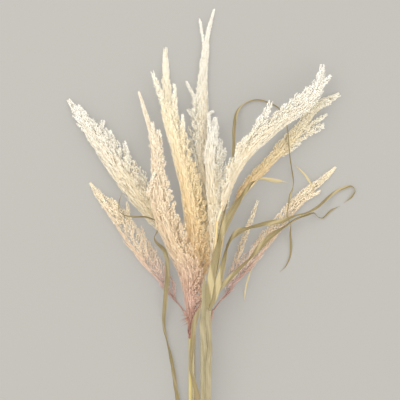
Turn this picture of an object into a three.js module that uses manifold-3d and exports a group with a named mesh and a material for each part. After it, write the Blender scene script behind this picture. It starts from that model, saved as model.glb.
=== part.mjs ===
// A loose bundle of dried pampas grass, cut, with no tie and no vase, lying on a flat surface.
// Nine culms run side by side up to the neck of the bundle, and their plumes fan out beyond it.
// Long dry leaves twist and fold over them. Millimetres, +Z up, +Y from the cut ends to the plume tips.
// Every piece is laid in turn on the surface and on the pieces that are already there.
import * as THREE from "three";
import { mergeVertices } from "three/addons/utils/BufferGeometryUtils.js";
import Module from "manifold-3d";

const wasm = await Module();
wasm.setup();

// Overall sizes
const plumeReach = 590; // from the neck to the tip of the tallest plume
const fanWidth = 520; // across the leaning plumes and the longest leaf
const bareStem = 310; // from the neck to the longest cut end

// The paths below are drawn at these sizes, and stretch with the overall sizes
const drawnReach = 590;
const drawnWidth = 520;

// Sizes of the pieces
const culmDiameter = 5;
const mainCulmDiameter = 8;
const plumeFlatness = 0.7; // a plume's thickness over its width
const bladeThickness = 1;
const clearance = 0.4; // between pieces that touch
const weldDistance = 1e-3; // corners closer than this are one corner
const leftCulmsX = -8; // the outermost culm of the left group
const rightCulmsX = 14; // the innermost culm of the right group
const upperCulmsX = rightCulmsX - 2; // and the innermost of those that lie on top of it
const straightFrom = -120; // each culm runs straight between these, below the neck
const straightTo = -40;
const fingerTaper = 0.75; // how much of its width a plume's side branch loses by its tip
const fingerDepth = 0.8; // the most of its plume's thickness that a side branch takes up

// How pieces settle
const culmSlope = 0.18; // the steepest rise of a stiff culm and its plume
const bladeSlope = 0.45; // the steepest rise of a limp blade
const culmStep = 24;
const bladeStep = 8;

const culmSides = 8;
const plumeSides = 10;
const fingerSides = 6;
const fingerRings = 4;

// A point of a path above the neck, in the sizes asked for.
function place(x, y) {
  return new THREE.Vector2(x * (fanWidth / drawnWidth), y * (plumeReach / drawnReach));
}

// The middle line of a culm in its group, counted from the group's first culm.
function culmX(groupX, slot) {
  return groupX + slot * (culmDiameter + clearance);
}

// ---- Laying pieces on one another, seen from above ----

// Each laid piece leaves its footprint here: short straight stretches with a half width and a top.
const laid = [];

function pointToStretch(p, a, b) {
  const along = b.clone().sub(a);
  const share = THREE.MathUtils.clamp(p.clone().sub(a).dot(along) / along.lengthSq(), 0, 1);
  return p.distanceTo(a.clone().addScaledVector(along, share));
}

function cross(o, a, b) {
  return (a.x - o.x) * (b.y - o.y) - (a.y - o.y) * (b.x - o.x);
}

// The gap between the middle lines of two stretches.
function gapBetween(a, b, c, d) {
  const crossing =
    cross(a, b, c) * cross(a, b, d) < 0 && cross(c, d, a) * cross(c, d, b) < 0;
  if (crossing) return 0;
  return Math.min(
    pointToStretch(a, c, d),
    pointToStretch(b, c, d),
    pointToStretch(c, a, b),
    pointToStretch(d, a, b),
  );
}

// The height of whatever already lies under a stretch of this half width.
function supportUnder(a, b, halfWidth) {
  let top = 0;
  for (const piece of laid) {
    if (piece.top <= top) continue;
    const reach = halfWidth + piece.halfWidth + clearance / 2;
    const far = reach + a.distanceTo(b) + piece.from.distanceTo(piece.to);
    if (a.distanceTo(piece.from) > far) continue;
    if (gapBetween(a, b, piece.from, piece.to) < reach) top = piece.top;
  }
  return top > 0 ? top + clearance : 0;
}

// The underside of a path's nodes: over all that lies beneath, and no steeper than the slope.
function settle(nodes, slope, extraSupport = []) {
  const under = nodes.map(() => 0);
  for (let i = 0; i + 1 < nodes.length; i++) {
    const halfWidth = Math.max(nodes[i].halfWidth, nodes[i + 1].halfWidth);
    const top = supportUnder(nodes[i].at, nodes[i + 1].at, halfWidth);
    under[i] = Math.max(under[i], top);
    under[i + 1] = Math.max(under[i + 1], top);
  }
  for (const { node, top } of extraSupport) under[node] = Math.max(under[node], top);
  for (let i = 1; i < nodes.length; i++) {
    const rise = slope * nodes[i].at.distanceTo(nodes[i - 1].at);
    under[i] = Math.max(under[i], under[i - 1] - rise);
  }
  for (let i = nodes.length - 2; i >= 0; i--) {
    const rise = slope * nodes[i].at.distanceTo(nodes[i + 1].at);
    under[i] = Math.max(under[i], under[i + 1] - rise);
  }
  return under;
}

// Rounds off the corners of a limp blade's underside, and never lowers it.
function softened(under) {
  const around = (list, i) => list.slice(Math.max(0, i - 1), i + 2);
  const raised = under.map((_, i) => Math.max(...around(under, i)));
  return raised.map((_, i) => {
    const near = around(raised, i);
    return near.reduce((sum, value) => sum + value, 0) / near.length;
  });
}

// Remembers a settled piece for the ones that come after it.
function lay(nodes) {
  for (let i = 0; i + 1 < nodes.length; i++) {
    laid.push({
      from: nodes[i].at,
      to: nodes[i + 1].at,
      halfWidth: Math.max(nodes[i].halfWidth, nodes[i + 1].halfWidth),
      top: Math.max(nodes[i].z + nodes[i].halfHeight, nodes[i + 1].z + nodes[i + 1].halfHeight),
    });
  }
}

// ---- Solids ----

// Gives each node the unit vector to the right of its path, seen from above.
function setSides(nodes) {
  nodes.forEach((node, i) => {
    const before = nodes[Math.max(0, i - 1)].at;
    const after = nodes[Math.min(nodes.length - 1, i + 1)].at;
    const heading = after.clone().sub(before).normalize();
    node.side = new THREE.Vector3(heading.y, -heading.x, 0);
  });
}

// A closed solid through rings of as many corners each, capped at both ends.
function loft(rings) {
  const sides = rings[0].length;
  const positions = [];
  const index = [];
  for (const ring of rings) for (const corner of ring) positions.push(...corner.toArray());
  for (const ring of [rings[0], rings.at(-1)]) {
    const middle = new THREE.Vector3();
    for (const corner of ring) middle.addScaledVector(corner, 1 / sides);
    positions.push(...middle.toArray());
  }
  const startMiddle = rings.length * sides;
  const endMiddle = startMiddle + 1;
  const lastRing = (rings.length - 1) * sides;
  for (let i = 0; i < sides; i++) {
    const next = (i + 1) % sides;
    for (let ring = 0; ring < lastRing; ring += sides) {
      index.push(ring + i, ring + sides + i, ring + sides + next);
      index.push(ring + i, ring + sides + next, ring + next);
    }
    index.push(startMiddle, i, next);
    index.push(endMiddle, lastRing + next, lastRing + i);
  }
  const geometry = new THREE.BufferGeometry();
  geometry.setAttribute("position", new THREE.Float32BufferAttribute(positions, 3));
  geometry.setIndex(index);
  geometry.computeVertexNormals();
  return geometry;
}

// An oval ring, upright across the path.
function ovalRing(node, sides) {
  const ring = [];
  for (let i = 0; i < sides; i++) {
    const turn = (2 * Math.PI * (i + 0.5)) / sides;
    const corner = new THREE.Vector3(node.at.x, node.at.y, node.z);
    corner.addScaledVector(node.side, node.halfWidth * Math.cos(turn));
    corner.z += node.halfHeight * Math.sin(turn);
    ring.push(corner);
  }
  return ring;
}

function ovalSolid(nodes, sides) {
  return loft(nodes.map((node) => ovalRing(node, sides)));
}

// A thin oblong ring, turned about the path by the blade's roll.
function bladeRing(node) {
  const across = node.side.clone().multiplyScalar(Math.cos(node.roll));
  across.z = Math.sin(node.roll);
  const through = node.side.clone().multiplyScalar(-Math.sin(node.roll));
  through.z = Math.cos(node.roll);
  const middle = new THREE.Vector3(node.at.x, node.at.y, node.z);
  const corners = [
    [0.5, -0.5],
    [0.5, 0.5],
    [-0.5, 0.5],
    [-0.5, -0.5],
  ];
  return corners.map(([u, v]) =>
    middle
      .clone()
      .addScaledVector(across, u * node.width)
      .addScaledVector(through, v * bladeThickness),
  );
}

function solidFrom(geometry) {
  const bare = geometry.clone();
  bare.deleteAttribute("normal");
  const merged = mergeVertices(bare, weldDistance);
  return new wasm.Manifold(
    new wasm.Mesh({
      numProp: 3,
      vertProperties: merged.attributes.position.array,
      triVerts: new Uint32Array(merged.index.array),
    }),
  );
}

function joined(geometries) {
  if (geometries.length === 1) return geometries[0];
  const whole = geometries.map(solidFrom).reduce((sum, solid) => sum.add(solid));
  const mesh = whole.getMesh();
  const geometry = new THREE.BufferGeometry();
  geometry.setAttribute("position", new THREE.Float32BufferAttribute(mesh.vertProperties, 3));
  geometry.setIndex(new THREE.Uint32BufferAttribute(mesh.triVerts, 1));
  geometry.computeVertexNormals();
  return geometry;
}

// ---- Colours ----

const culmYellow = 0xc9b468;
const culmOlive = 0xa89a6a;
const plumeCream = 0xf0e4c4;
const plumeGold = 0xe6cb96;
const plumePink = 0xd9b8a6;
const bladeOlive = 0x8f8457;
const bladeStraw = 0xc2b07a;

function material(colour) {
  return new THREE.MeshStandardMaterial({ color: colour, roughness: 0.85, metalness: 0 });
}

const group = new THREE.Group();

function addPiece(name, geometry, colour) {
  const mesh = new THREE.Mesh(geometry, material(colour));
  mesh.name = name;
  group.add(mesh);
}

// ---- Culms with their plumes ----

// The nodes of a smooth path: points are [x, y, ...values], and each node has the values in between.
function nodesAlong(points, step) {
  const middle = new THREE.CatmullRomCurve3(
    points.map(([x, y]) => new THREE.Vector3(x, y, 0)),
    false,
    "centripetal",
  );
  const nodes = [];
  for (let i = 0; i + 1 < points.length; i++) {
    const [ax, ay, ...from] = points[i];
    const [bx, by, ...to] = points[i + 1];
    const steps = Math.max(1, Math.round(Math.hypot(bx - ax, by - ay) / step));
    for (let k = i === 0 ? 0 : 1; k <= steps; k++) {
      const share = k / steps;
      const eased = THREE.MathUtils.smoothstep(share, 0, 1);
      const at = middle.getPoint((i + share) / (points.length - 1));
      nodes.push({
        at: new THREE.Vector2(at.x, at.y),
        values: from.map((value, n) => value + (to[n] - value) * eased),
      });
    }
  }
  return nodes;
}

// A side branch that stands out of a plume: level with it, and tapering to its tip.
function fingerNodes(finger, plumeNodes) {
  const [fromX, fromY, toX, toY, width] = finger;
  const from = place(fromX, fromY);
  const to = place(toX, toY);
  const nearest = (best, node) =>
    node.at.distanceTo(from) < best.at.distanceTo(from) ? node : best;
  const root = plumeNodes.reduce(nearest);
  const nodes = [];
  for (let i = 0; i <= fingerRings; i++) {
    const taper = 1 - fingerTaper * (i / fingerRings) ** 2;
    nodes.push({
      at: from.clone().lerp(to, i / fingerRings),
      halfWidth: (width / 2) * taper,
      halfHeight: Math.min((width / 2) * taper, fingerDepth * root.halfHeight),
    });
  }
  setSides(nodes);
  return { nodes, root: plumeNodes.indexOf(root) };
}

// One culm and its plume, laid as one stiff piece. Plume points are [x, y, width].
function addStalk({ name, groupX, slot, trim, diameter = culmDiameter, neck, plume, fingers = [],
  colour, culmColour = culmOlive }) {
  const x = culmX(groupX, slot);
  const radius = diameter / 2;
  const scaled = plume.map(([px, py, width]) => [...place(px, py).toArray(), width]);
  const onWay = neck.map(([px, py]) => [...place(px, py).toArray(), diameter]);
  const culmPoints = [[x, trim - bareStem, diameter], [x, straightFrom, diameter],
    [x, straightTo, diameter], ...onWay];
  const culmNodes = nodesAlong([...culmPoints, [scaled[0][0], scaled[0][1], diameter]], culmStep);
  const plumeNodes = nodesAlong(scaled, culmStep);
  for (const node of culmNodes) {
    node.halfWidth = radius;
    node.halfHeight = radius;
  }
  for (const node of plumeNodes) {
    node.halfWidth = node.values[0] / 2;
    node.halfHeight = node.halfWidth * plumeFlatness;
  }
  plumeNodes[0].halfHeight = radius;

  const all = [...culmNodes, ...plumeNodes.slice(1)];
  setSides(all);
  const fingerParts = fingers.map((finger) => fingerNodes(finger, plumeNodes));
  const fingerSupport = fingerParts.map(({ nodes, root }) => {
    const ends = [nodes[0].at, nodes.at(-1).at];
    return { node: culmNodes.length - 1 + root, top: supportUnder(...ends, nodes[0].halfWidth) };
  });
  const under = settle(all, culmSlope, fingerSupport);
  all.forEach((node, i) => {
    node.z = under[i] + node.halfHeight;
  });
  const joint = culmNodes.at(-1);
  plumeNodes[0].z = joint.z;
  plumeNodes[0].side = joint.side;
  for (const { nodes, root } of fingerParts) {
    for (const node of nodes) node.z = plumeNodes[root].z;
  }

  // The culm stops short of its plume's foot by the clearance.
  const heading = new THREE.Vector2(-joint.side.y, joint.side.x);
  const end = { ...joint, at: joint.at.clone().addScaledVector(heading, -clearance) };
  const culmSolid = ovalSolid([...culmNodes.slice(0, -1), end], culmSides);
  addPiece(`culm_${name}`, culmSolid, culmColour);
  const lofts = [ovalSolid(plumeNodes, plumeSides)];
  for (const { nodes } of fingerParts) lofts.push(ovalSolid(nodes, fingerSides));
  addPiece(`plume_${name}`, joined(lofts), colour);
  lay(culmNodes);
  lay(plumeNodes);
  for (const { nodes } of fingerParts) lay(nodes);
}

// ---- Leaves ----

// One leaf blade or sheath. Points are [x, y, width, roll in degrees].
function addBlade({ name, points, colour = bladeOlive }) {
  const nodes = nodesAlong(points, bladeStep);
  for (const node of nodes) {
    const [width, roll] = node.values;
    node.width = width;
    node.roll = THREE.MathUtils.degToRad(roll);
    const flat = Math.abs(Math.cos(node.roll));
    const upright = Math.abs(Math.sin(node.roll));
    node.halfWidth = (width * flat + bladeThickness * upright) / 2;
    node.halfHeight = (width * upright + bladeThickness * flat) / 2;
  }
  const under = softened(settle(nodes, bladeSlope));
  nodes.forEach((node, i) => {
    node.z = under[i] + node.halfHeight;
  });
  setSides(nodes);
  addPiece(name, loft(nodes.map(bladeRing)), colour);
  lay(nodes);
}

// The points of a blade above the neck, stretched with the fan.
function fanned(points) {
  return points.map(([x, y, ...values]) => [...place(x, y).toArray(), ...values]);
}

// ---- The bundle, from the surface up ----

addStalk({
  name: "left_low", groupX: leftCulmsX, slot: 0, trim: 12, colour: plumePink,
  neck: [[-9, 2]],
  plume: [[-20, 43, 8], [-49, 92, 24], [-83, 137, 34], [-115, 182, 36], [-144, 219, 28],
    [-169, 246, 14], [-191, 275, 4]],
  fingers: [[-121, 200, -122, 240, 6], [-138, 206, -153, 247, 8]],
});
addStalk({
  name: "left", groupX: leftCulmsX, slot: 1, trim: 0, colour: plumeCream,
  neck: [[-3, 40]],
  plume: [[-12, 130, 8], [-40, 183, 38], [-82, 236, 48], [-127, 293, 50], [-170, 349, 38],
    [-203, 389, 24], [-231, 426, 5]],
  fingers: [[-195, 375, -212, 416, 10], [-176, 352, -166, 388, 12], [-162, 338, -153, 370, 10],
    [-117, 297, -128, 350, 11], [-91, 262, -104, 300, 11]],
});
addStalk({
  name: "tall", groupX: rightCulmsX, slot: 0, trim: 6, colour: plumeCream,
  neck: [[15, 30]],
  plume: [[18, 95, 8], [17, 150, 30], [16, 200, 36], [13, 261, 38], [9, 333, 34], [9, 396, 30],
    [14, 450, 22], [18, 504, 18], [24, 548, 10], [35, 590, 4]],
  fingers: [[8, 410, -16, 458, 8], [17, 520, 8, 572, 5], [12, 392, 34, 404, 8],
    [8, 385, -14, 408, 10]],
});
addStalk({
  name: "right_mid", groupX: rightCulmsX, slot: 1, trim: 20, colour: plumeGold,
  neck: [[24, 50], [42, 125]],
  plume: [[56, 206, 8], [72, 236, 12], [92, 265, 15], [122, 299, 17], [142, 320, 19],
    [162, 342, 22], [186, 368, 18], [220, 411, 14], [263, 435, 6]],
  fingers: [[152, 326, 192, 348, 12], [166, 345, 236, 380, 16], [184, 362, 240, 399, 9]],
});
addStalk({
  name: "right_low", groupX: rightCulmsX, slot: 2, trim: 9, colour: plumePink,
  neck: [[26, 5]],
  plume: [[33, 45, 8], [60, 88, 20], [94, 129, 26], [129, 172, 24], [167, 220, 22],
    [199, 253, 18], [232, 281, 10], [256, 303, 4]],
  fingers: [[60, 92, 114, 243, 10], [190, 240, 228, 259, 7]],
});
addBlade({
  name: "leaf_left_hanging",
  points: [[-14, -230, 12, 20], [-24, -165, 12, 35], [-34, -100, 11, 50],
    ...fanned([[-42, -50, 10, 50], [-50, -14, 8, 70], [-56, 14, 8, 50], [-54, 60, 8, 20],
      [-50, 105, 8, 0], [-50, 130, 8, 5], [-55, 151, 8, 20], [-70, 168, 7, 50],
      [-73, 176, 6, 80], [-67, 188, 6, 60], [-70, 205, 6, 78], [-92, 213, 6, 60],
      [-110, 213, 5, 50], [-128, 216, 5, 70], [-137, 223, 4, 80], [-135, 245, 4, 60],
      [-131, 256, 2, 50]])],
});
addStalk({
  name: "centre", groupX: upperCulmsX, slot: 0, trim: 16, colour: plumeGold,
  neck: [[12, 25]],
  plume: [[11, 78, 8], [5, 140, 40], [0, 212, 42], [-13, 279, 36], [-31, 346, 34],
    [-46, 394, 28], [-52, 450, 12], [-54, 522, 4]],
  fingers: [[-46, 385, -77, 476, 12], [-34, 372, -38, 453, 9], [-22, 340, -22, 398, 8]],
});
addStalk({
  name: "centre_right", groupX: upperCulmsX, slot: 1, trim: 3, colour: plumeCream,
  neck: [[19, 30], [28, 90]],
  plume: [[34, 125, 8], [38, 170, 22], [40, 215, 32], [39, 261, 38], [33, 324, 34],
    [34, 366, 18], [37, 393, 5]],
  fingers: [[26, 335, 25, 399, 7], [42, 300, 56, 336, 9]],
});
addBlade({
  name: "leaf_arch",
  points: fanned([[24, 66, 12, 0], [36, 130, 13, 0], [44, 172, 10, 40], [49, 205, 7, 60],
    [56, 240, 8, 45], [63, 275, 8, 50], [67, 303, 7, 74], [70, 340, 7, 45], [71, 374, 7, 30],
    [75, 399, 7, 50], [84, 413, 6, 62], [102, 423, 6, 66], [118, 424, 6, 60], [136, 418, 6, 64],
    [151, 410, 6, 68], [161, 396, 5, 66], [168, 362, 5, 64], [171, 323, 5, 66],
    [177, 285, 5, 62], [177, 266, 5, 75], [172, 252, 5, 25], [169, 234, 4, 60],
    [166, 212, 4, 75], [173, 199, 4, 78], [172, 184, 5, 50], [174, 160, 5, 25],
    [172, 140, 4, 40], [163, 121, 3, 50], [154, 113, 2, 40]]),
});
addStalk({
  name: "right_high", groupX: upperCulmsX, slot: 2, trim: 24, colour: plumeCream,
  neck: [[27, 50], [34, 130]],
  plume: [[40, 206, 8], [49, 236, 13], [59, 268, 18], [73, 303, 26], [90, 331, 32],
    [113, 354, 33], [139, 374, 29], [169, 397, 30], [192, 415, 33], [218, 441, 24],
    [231, 488, 6]],
  fingers: [[106, 345, 136, 421, 15], [84, 316, 88, 356, 13], [204, 424, 245, 467, 11]],
});
addStalk({
  name: "centre_left", groupX: leftCulmsX, slot: 0, trim: 4, diameter: mainCulmDiameter,
  colour: plumePink, culmColour: culmYellow,
  neck: [],
  plume: [[-8, -5, 9], [-5, 25, 15], [-5, 60, 28], [-8, 112, 42], [-38, 176, 42],
    [-58, 232, 42], [-66, 293, 24], [-71, 340, 20], [-82, 375, 9], [-102, 440, 4]],
  fingers: [[-64, 340, -66, 370, 10], [-60, 240, -42, 262, 12], [-84, 248, -70, 294, 12]],
});
addBlade({
  name: "sheath_right",
  points: [[17, -230, 11, 0], [16, -115, 11, 0], [18, -74, 11, 0], [19, -50, 11, 0],
    ...fanned([[15, -2, 10, 0], [14, 22, 11, 0], [18, 60, 12, 0], [17, 103, 10, 0]])],
});
addBlade({
  name: "sheath_right_side",
  points: [[25, -215, 9, 0], [24, -115, 9, 0], [25, -50, 9, 0], [27, -25, 8, 0],
    ...fanned([[25, 9, 8, 0], [23, 56, 8, 0]])],
});
addBlade({
  name: "sheath_left",
  points: [[7, -200, 9, 0], [5, -115, 9, 0], [-1, -86, 8, 20], [-8, -58, 6, 45],
    [-7, -41, 8, 20], ...fanned([[-4, -9, 9, 0], [-1, 22, 9, 0], [8, 52, 8, 0]])],
});
addBlade({
  name: "leaf_low_right",
  points: fanned([[25, 55, 9, 0], [41, 82, 9, 10], [62, 103, 9, 0], [84, 124, 7, 35],
    [97, 136, 7, 70], [107, 147, 8, 40], [119, 161, 10, 0], [138, 179, 10, 15],
    [160, 193, 7, 60], [184, 209, 5, 50], [203, 216, 5, 45], [216, 219, 5, 70],
    [223, 212, 4, 80], [231, 210, 4, 60], [247, 224, 4, 40], [263, 232, 2, 30]]),
});
addBlade({
  name: "leaf_long_right",
  points: fanned([[27, 46, 10, 0], [41, 92, 12, 0], [50, 126, 10, 25], [57, 156, 8, 62],
    [65, 173, 9, 50], [79, 187, 12, 0], [95, 192, 8, 58], [113, 197, 8, 35], [135, 202, 9, 0],
    [157, 205, 9, 15], [180, 214, 6, 60], [203, 220, 6, 60], [220, 229, 7, 50],
    [239, 245, 7, 50], [257, 259, 7, 45], [274, 266, 6, 45], [284, 268, 6, 70],
    [290, 261, 6, 80], [283, 248, 5, 45], [270, 238, 2, 30]]),
});
addBlade({
  name: "leaf_wide_bent",
  points: fanned([[22, 48, 10, 0], [30, 108, 14, 0], [37, 142, 12, 15], [45, 172, 11, 62],
    [52, 192, 13, 20], [60, 211, 14, 0], [72, 232, 12, 15], [84, 249, 9, 50], [93, 262, 9, 35],
    [104, 275, 9, 65], [121, 281, 7, 130], [143, 278, 8, 150], [168, 275, 3, 140]]),
});
addBlade({
  name: "leaf_tip_high", colour: bladeStraw,
  points: fanned([[214, 262, 4, 20], [208, 275, 4, 10], [196, 292, 3, 20], [180, 308, 1.5, 20]]),
});
addBlade({
  name: "leaf_tip_low", colour: bladeStraw,
  points: fanned([[104, 121, 3, 10], [100, 113, 3, 10], [92, 84, 3, 20], [89, 58, 1.5, 20]]),
});

// The origin is under the middle of the whole bundle, on the surface it lies on.
const box = new THREE.Box3().setFromObject(group);
const centre = box.getCenter(new THREE.Vector3());
group.children.forEach((mesh) => mesh.geometry.translate(-centre.x, -centre.y, -box.min.z));

export default group;
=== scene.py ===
"""The looks of the bundle of pampas grass: hairy plumes, ribbed culms and folded dry leaves, each in place
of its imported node. The bundle lies on the floor, and the camera looks straight down on it."""
from typing import NamedTuple

import bmesh
import bpy
import numpy as np
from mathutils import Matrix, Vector
from mathutils.bvhtree import BVHTree


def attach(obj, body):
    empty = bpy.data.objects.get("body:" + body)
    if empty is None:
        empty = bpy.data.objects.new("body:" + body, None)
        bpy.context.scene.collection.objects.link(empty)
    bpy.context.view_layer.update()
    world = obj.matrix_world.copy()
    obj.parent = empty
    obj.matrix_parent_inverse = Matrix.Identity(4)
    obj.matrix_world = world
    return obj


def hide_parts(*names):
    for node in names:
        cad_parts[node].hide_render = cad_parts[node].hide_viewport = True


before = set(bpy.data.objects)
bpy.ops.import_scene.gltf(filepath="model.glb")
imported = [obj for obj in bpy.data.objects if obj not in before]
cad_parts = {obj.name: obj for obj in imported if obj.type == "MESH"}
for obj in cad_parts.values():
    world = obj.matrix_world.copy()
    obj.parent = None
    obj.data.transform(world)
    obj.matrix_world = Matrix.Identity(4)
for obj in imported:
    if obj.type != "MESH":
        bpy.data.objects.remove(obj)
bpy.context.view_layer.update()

MM = 0.001
MAP = "OFBake"
WELD_DISTANCE = 2e-6
FLOOR_GAP = 0.3 * MM  # no corner lies lower than this

AXIS_SAMPLES = 24  # in the axis of a side branch or a tip
CULM_SIDES = 8  # corners in each ring of a CAD culm
BLADE_SIDES = 4  # corners in each ring of a CAD leaf
BARE_STEM = 310  # from the neck to the cut end of culm_left, in mm
LEFT_SLOT_X = -2.6  # the middle line of culm_left beside the neck, in mm

# ---- Paths ----


def unit(vectors):
    """The vectors, each one long."""
    length = np.linalg.norm(vectors, axis=-1, keepdims=True)
    return vectors / np.maximum(length, 1e-12)


def smoothstep(t):
    t = np.clip(t, 0, 1)
    return t * t * (3 - 2 * t)


def stretches(counts):
    """Each stretch's number and its steps from 0 to 1. Only the last stretch keeps its end."""
    for i, count in enumerate(counts):
        t = np.linspace(0, 1, count + 1)
        yield i, t if i + 1 == len(counts) else t[:-1]


def curve_through(points, counts):
    """A centripetal Catmull-Rom curve through the points, with counts[i] steps in stretch i."""
    points = np.asarray(points, float)
    ends = np.vstack([2 * points[0] - points[1], points, 2 * points[-1] - points[-2]])
    made = []
    for i, t in stretches(counts):
        p0, p1, p2, p3 = ends[i : i + 4]
        d0, d1, d2 = (max(np.linalg.norm(b - a), 1e-9) ** 0.5 for a, b in ((p0, p1), (p1, p2), (p2, p3)))
        out = ((p1 - p0) / d0 - (p2 - p0) / (d0 + d1) + (p2 - p1) / d1) * d1
        into = ((p2 - p1) / d1 - (p3 - p1) / (d1 + d2) + (p3 - p2) / d2) * d1
        t = t[:, None]
        nearer = (2 * t**3 - 3 * t**2 + 1) * p1 + (t**3 - 2 * t**2 + t) * out
        made.append(nearer + (3 * t**2 - 2 * t**3) * p2 + (t**3 - t**2) * into)
    return np.vstack(made)


def values_along(values, counts):
    """The values at the same steps, eased from one point to the next."""
    values = np.asarray(values, float)
    made = [values[i] + (values[i + 1] - values[i]) * smoothstep(t) for i, t in stretches(counts)]
    return np.concatenate(made)


def lengths_along(points):
    steps = np.linalg.norm(np.diff(points, axis=0), axis=1)
    return np.concatenate([[0], np.cumsum(steps)])


def fine_line(middles, step):
    """A smooth line through the middles, in steps of about the given length."""
    steps = np.linalg.norm(np.diff(middles, axis=0), axis=1)
    counts = np.maximum(1, np.round(steps / step)).astype(int)
    return curve_through(middles, counts)


def level_side(heading):
    """The level direction to the right of each heading."""
    return unit(np.stack([heading[:, 1], -heading[:, 0], 0 * heading[:, 0]], 1))


def rings_of(node, sides):
    """The rings of corners that a lofted CAD node was made from, its widest or lowest end first."""
    mesh = bmesh.new()
    mesh.from_mesh(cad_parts[node].data)
    bmesh.ops.remove_doubles(mesh, verts=mesh.verts, dist=WELD_DISTANCE)
    middles = [v for v in mesh.verts if len(v.link_edges) == sides]

    def around(vertex):
        return [edge.other_vert(vertex) for edge in vertex.link_edges]

    def spread(vertex):
        size = max((other.co - vertex.co).length for other in around(vertex))
        return (-round(size, 4), vertex.co.y)

    start = min(middles, key=spread)
    seen = {start}
    level = around(start)
    rings = []
    while len(level) == sides:
        rings.append(np.array([tuple(v.co) for v in level]))
        seen.update(level)
        following = {other for v in level for other in around(v)} - seen
        level = sorted(following, key=lambda v: v.index)
    mesh.free()
    return rings


class Axis:
    """A path with a frame and an oval section at each of its samples, read by share of its length."""

    def __init__(self, points, half_width, half_height):
        self.points = points
        along = lengths_along(points)
        self.length = along[-1]
        self.share = along / along[-1]
        self.tangent = unit(np.gradient(points, axis=0))
        self.side = level_side(self.tangent)
        self.up = np.cross(self.side, self.tangent)
        self.half_width = half_width
        self.half_height = half_height

    def read(self, name, share):
        """One of the axis's values, such as "points", at the given shares of its length."""
        values = getattr(self, name)
        if values.ndim == 1:
            return np.interp(share, self.share, values)
        columns = [np.interp(share, self.share, column) for column in values.T]
        return np.stack(columns, -1)

    def end_part(self, start):
        """The same axis from the given share of its length to its tip."""
        share = np.linspace(start, 1, AXIS_SAMPLES)
        return Axis(*(self.read(name, share) for name in ("points", "half_width", "half_height")))

    def area(self):
        """The area of the outline seen from above."""
        steps = np.diff(self.share) * self.length
        return float(((self.half_width[1:] + self.half_width[:-1]) * steps).sum())


culm_rings = rings_of("culm_left", CULM_SIDES)
neck = culm_rings[0].mean(0)[:2] - np.array([LEFT_SLOT_X, -BARE_STEM]) * MM


def to_row(points):
    """Points in mm from the neck, in the row frame."""
    return neck + np.asarray(points, float) * MM


# ---- Materials ----


def colour(red, green, blue):
    """A screen colour, 0 to 255, as the linear colour that nodes use."""
    share = np.array([red, green, blue]) / 255
    linear = np.where(share <= 0.04045, share / 12.92, ((share + 0.055) / 1.055) ** 2.4)
    return (*linear.tolist(), 1.0)


class Shader:
    """A material of one Principled shader, and short ways to add nodes in front of it."""

    def __init__(self, name, roughness, specular):
        self.material = bpy.data.materials.new(name)
        self.material.use_nodes = True
        self.nodes = self.material.node_tree.nodes
        self.links = self.material.node_tree.links
        self.surface = self.nodes["Principled BSDF"]
        self.set("Roughness", roughness)
        self.set("Specular IOR Level", specular)

    def set(self, name, value):
        self.surface.inputs[name].default_value = value

    def wire(self, value, socket):
        """A socket is linked, and a number or colour is set."""
        if isinstance(value, bpy.types.NodeSocket):
            self.links.new(value, socket)
        else:
            socket.default_value = value

    def map_axes(self):
        """The two directions of the piece's own map."""
        source = self.nodes.new("ShaderNodeUVMap")
        source.uv_map = MAP
        split = self.nodes.new("ShaderNodeSeparateXYZ")
        self.links.new(source.outputs["UV"], split.inputs[0])
        return split.outputs["X"], split.outputs["Y"]

    def math(self, operation, first, second, clamp=False):
        node = self.nodes.new("ShaderNodeMath")
        node.operation = operation
        node.use_clamp = clamp
        self.wire(first, node.inputs[0])
        self.wire(second, node.inputs[1])
        return node.outputs[0]

    def times(self, first, second):
        return self.math("MULTIPLY", first, second)

    def noise(self, x, y, detail):
        """Noise over the plane of x and y, with features about one long."""
        place = self.nodes.new("ShaderNodeCombineXYZ")
        self.wire(x, place.inputs["X"])
        self.wire(y, place.inputs["Y"])
        node = self.nodes.new("ShaderNodeTexNoise")
        self.links.new(place.outputs[0], node.inputs["Vector"])
        node.inputs["Scale"].default_value = 1.0
        node.inputs["Detail"].default_value = detail
        node.inputs["Roughness"].default_value = 0.55
        return node.outputs["Fac"]

    def ramp(self, value, stops):
        """Screen colours by their places from 0 to 1."""
        node = self.nodes.new("ShaderNodeValToRGB")
        elements = node.color_ramp.elements
        while len(elements) < len(stops):
            elements.new(0.5)
        for element, (position, tint) in zip(elements, stops.items()):
            element.position = position
            element.color = colour(*tint)
        self.wire(value, node.inputs[0])
        return node.outputs[0]

    def span(self, value, low, high):
        """0 where the value is low, 1 where it is high, and clamped between."""
        node = self.nodes.new("ShaderNodeMapRange")
        node.inputs["From Min"].default_value = low
        node.inputs["From Max"].default_value = high
        self.wire(value, node.inputs["Value"])
        return node.outputs["Result"]

    def mix(self, factor, first, second):
        node = self.nodes.new("ShaderNodeMix")
        node.data_type = "RGBA"
        self.wire(factor, node.inputs["Factor"])
        self.wire(first, node.inputs["A"])
        self.wire(second, node.inputs["B"])
        return node.outputs["Result"]

    def paint(self, tint):
        self.links.new(tint, self.surface.inputs["Base Color"])

    def bump(self, height, strength, distance):
        node = self.nodes.new("ShaderNodeBump")
        node.inputs["Strength"].default_value = strength
        node.inputs["Distance"].default_value = distance
        self.links.new(height, node.inputs["Height"])
        self.links.new(node.outputs["Normal"], self.surface.inputs["Normal"])


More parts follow.
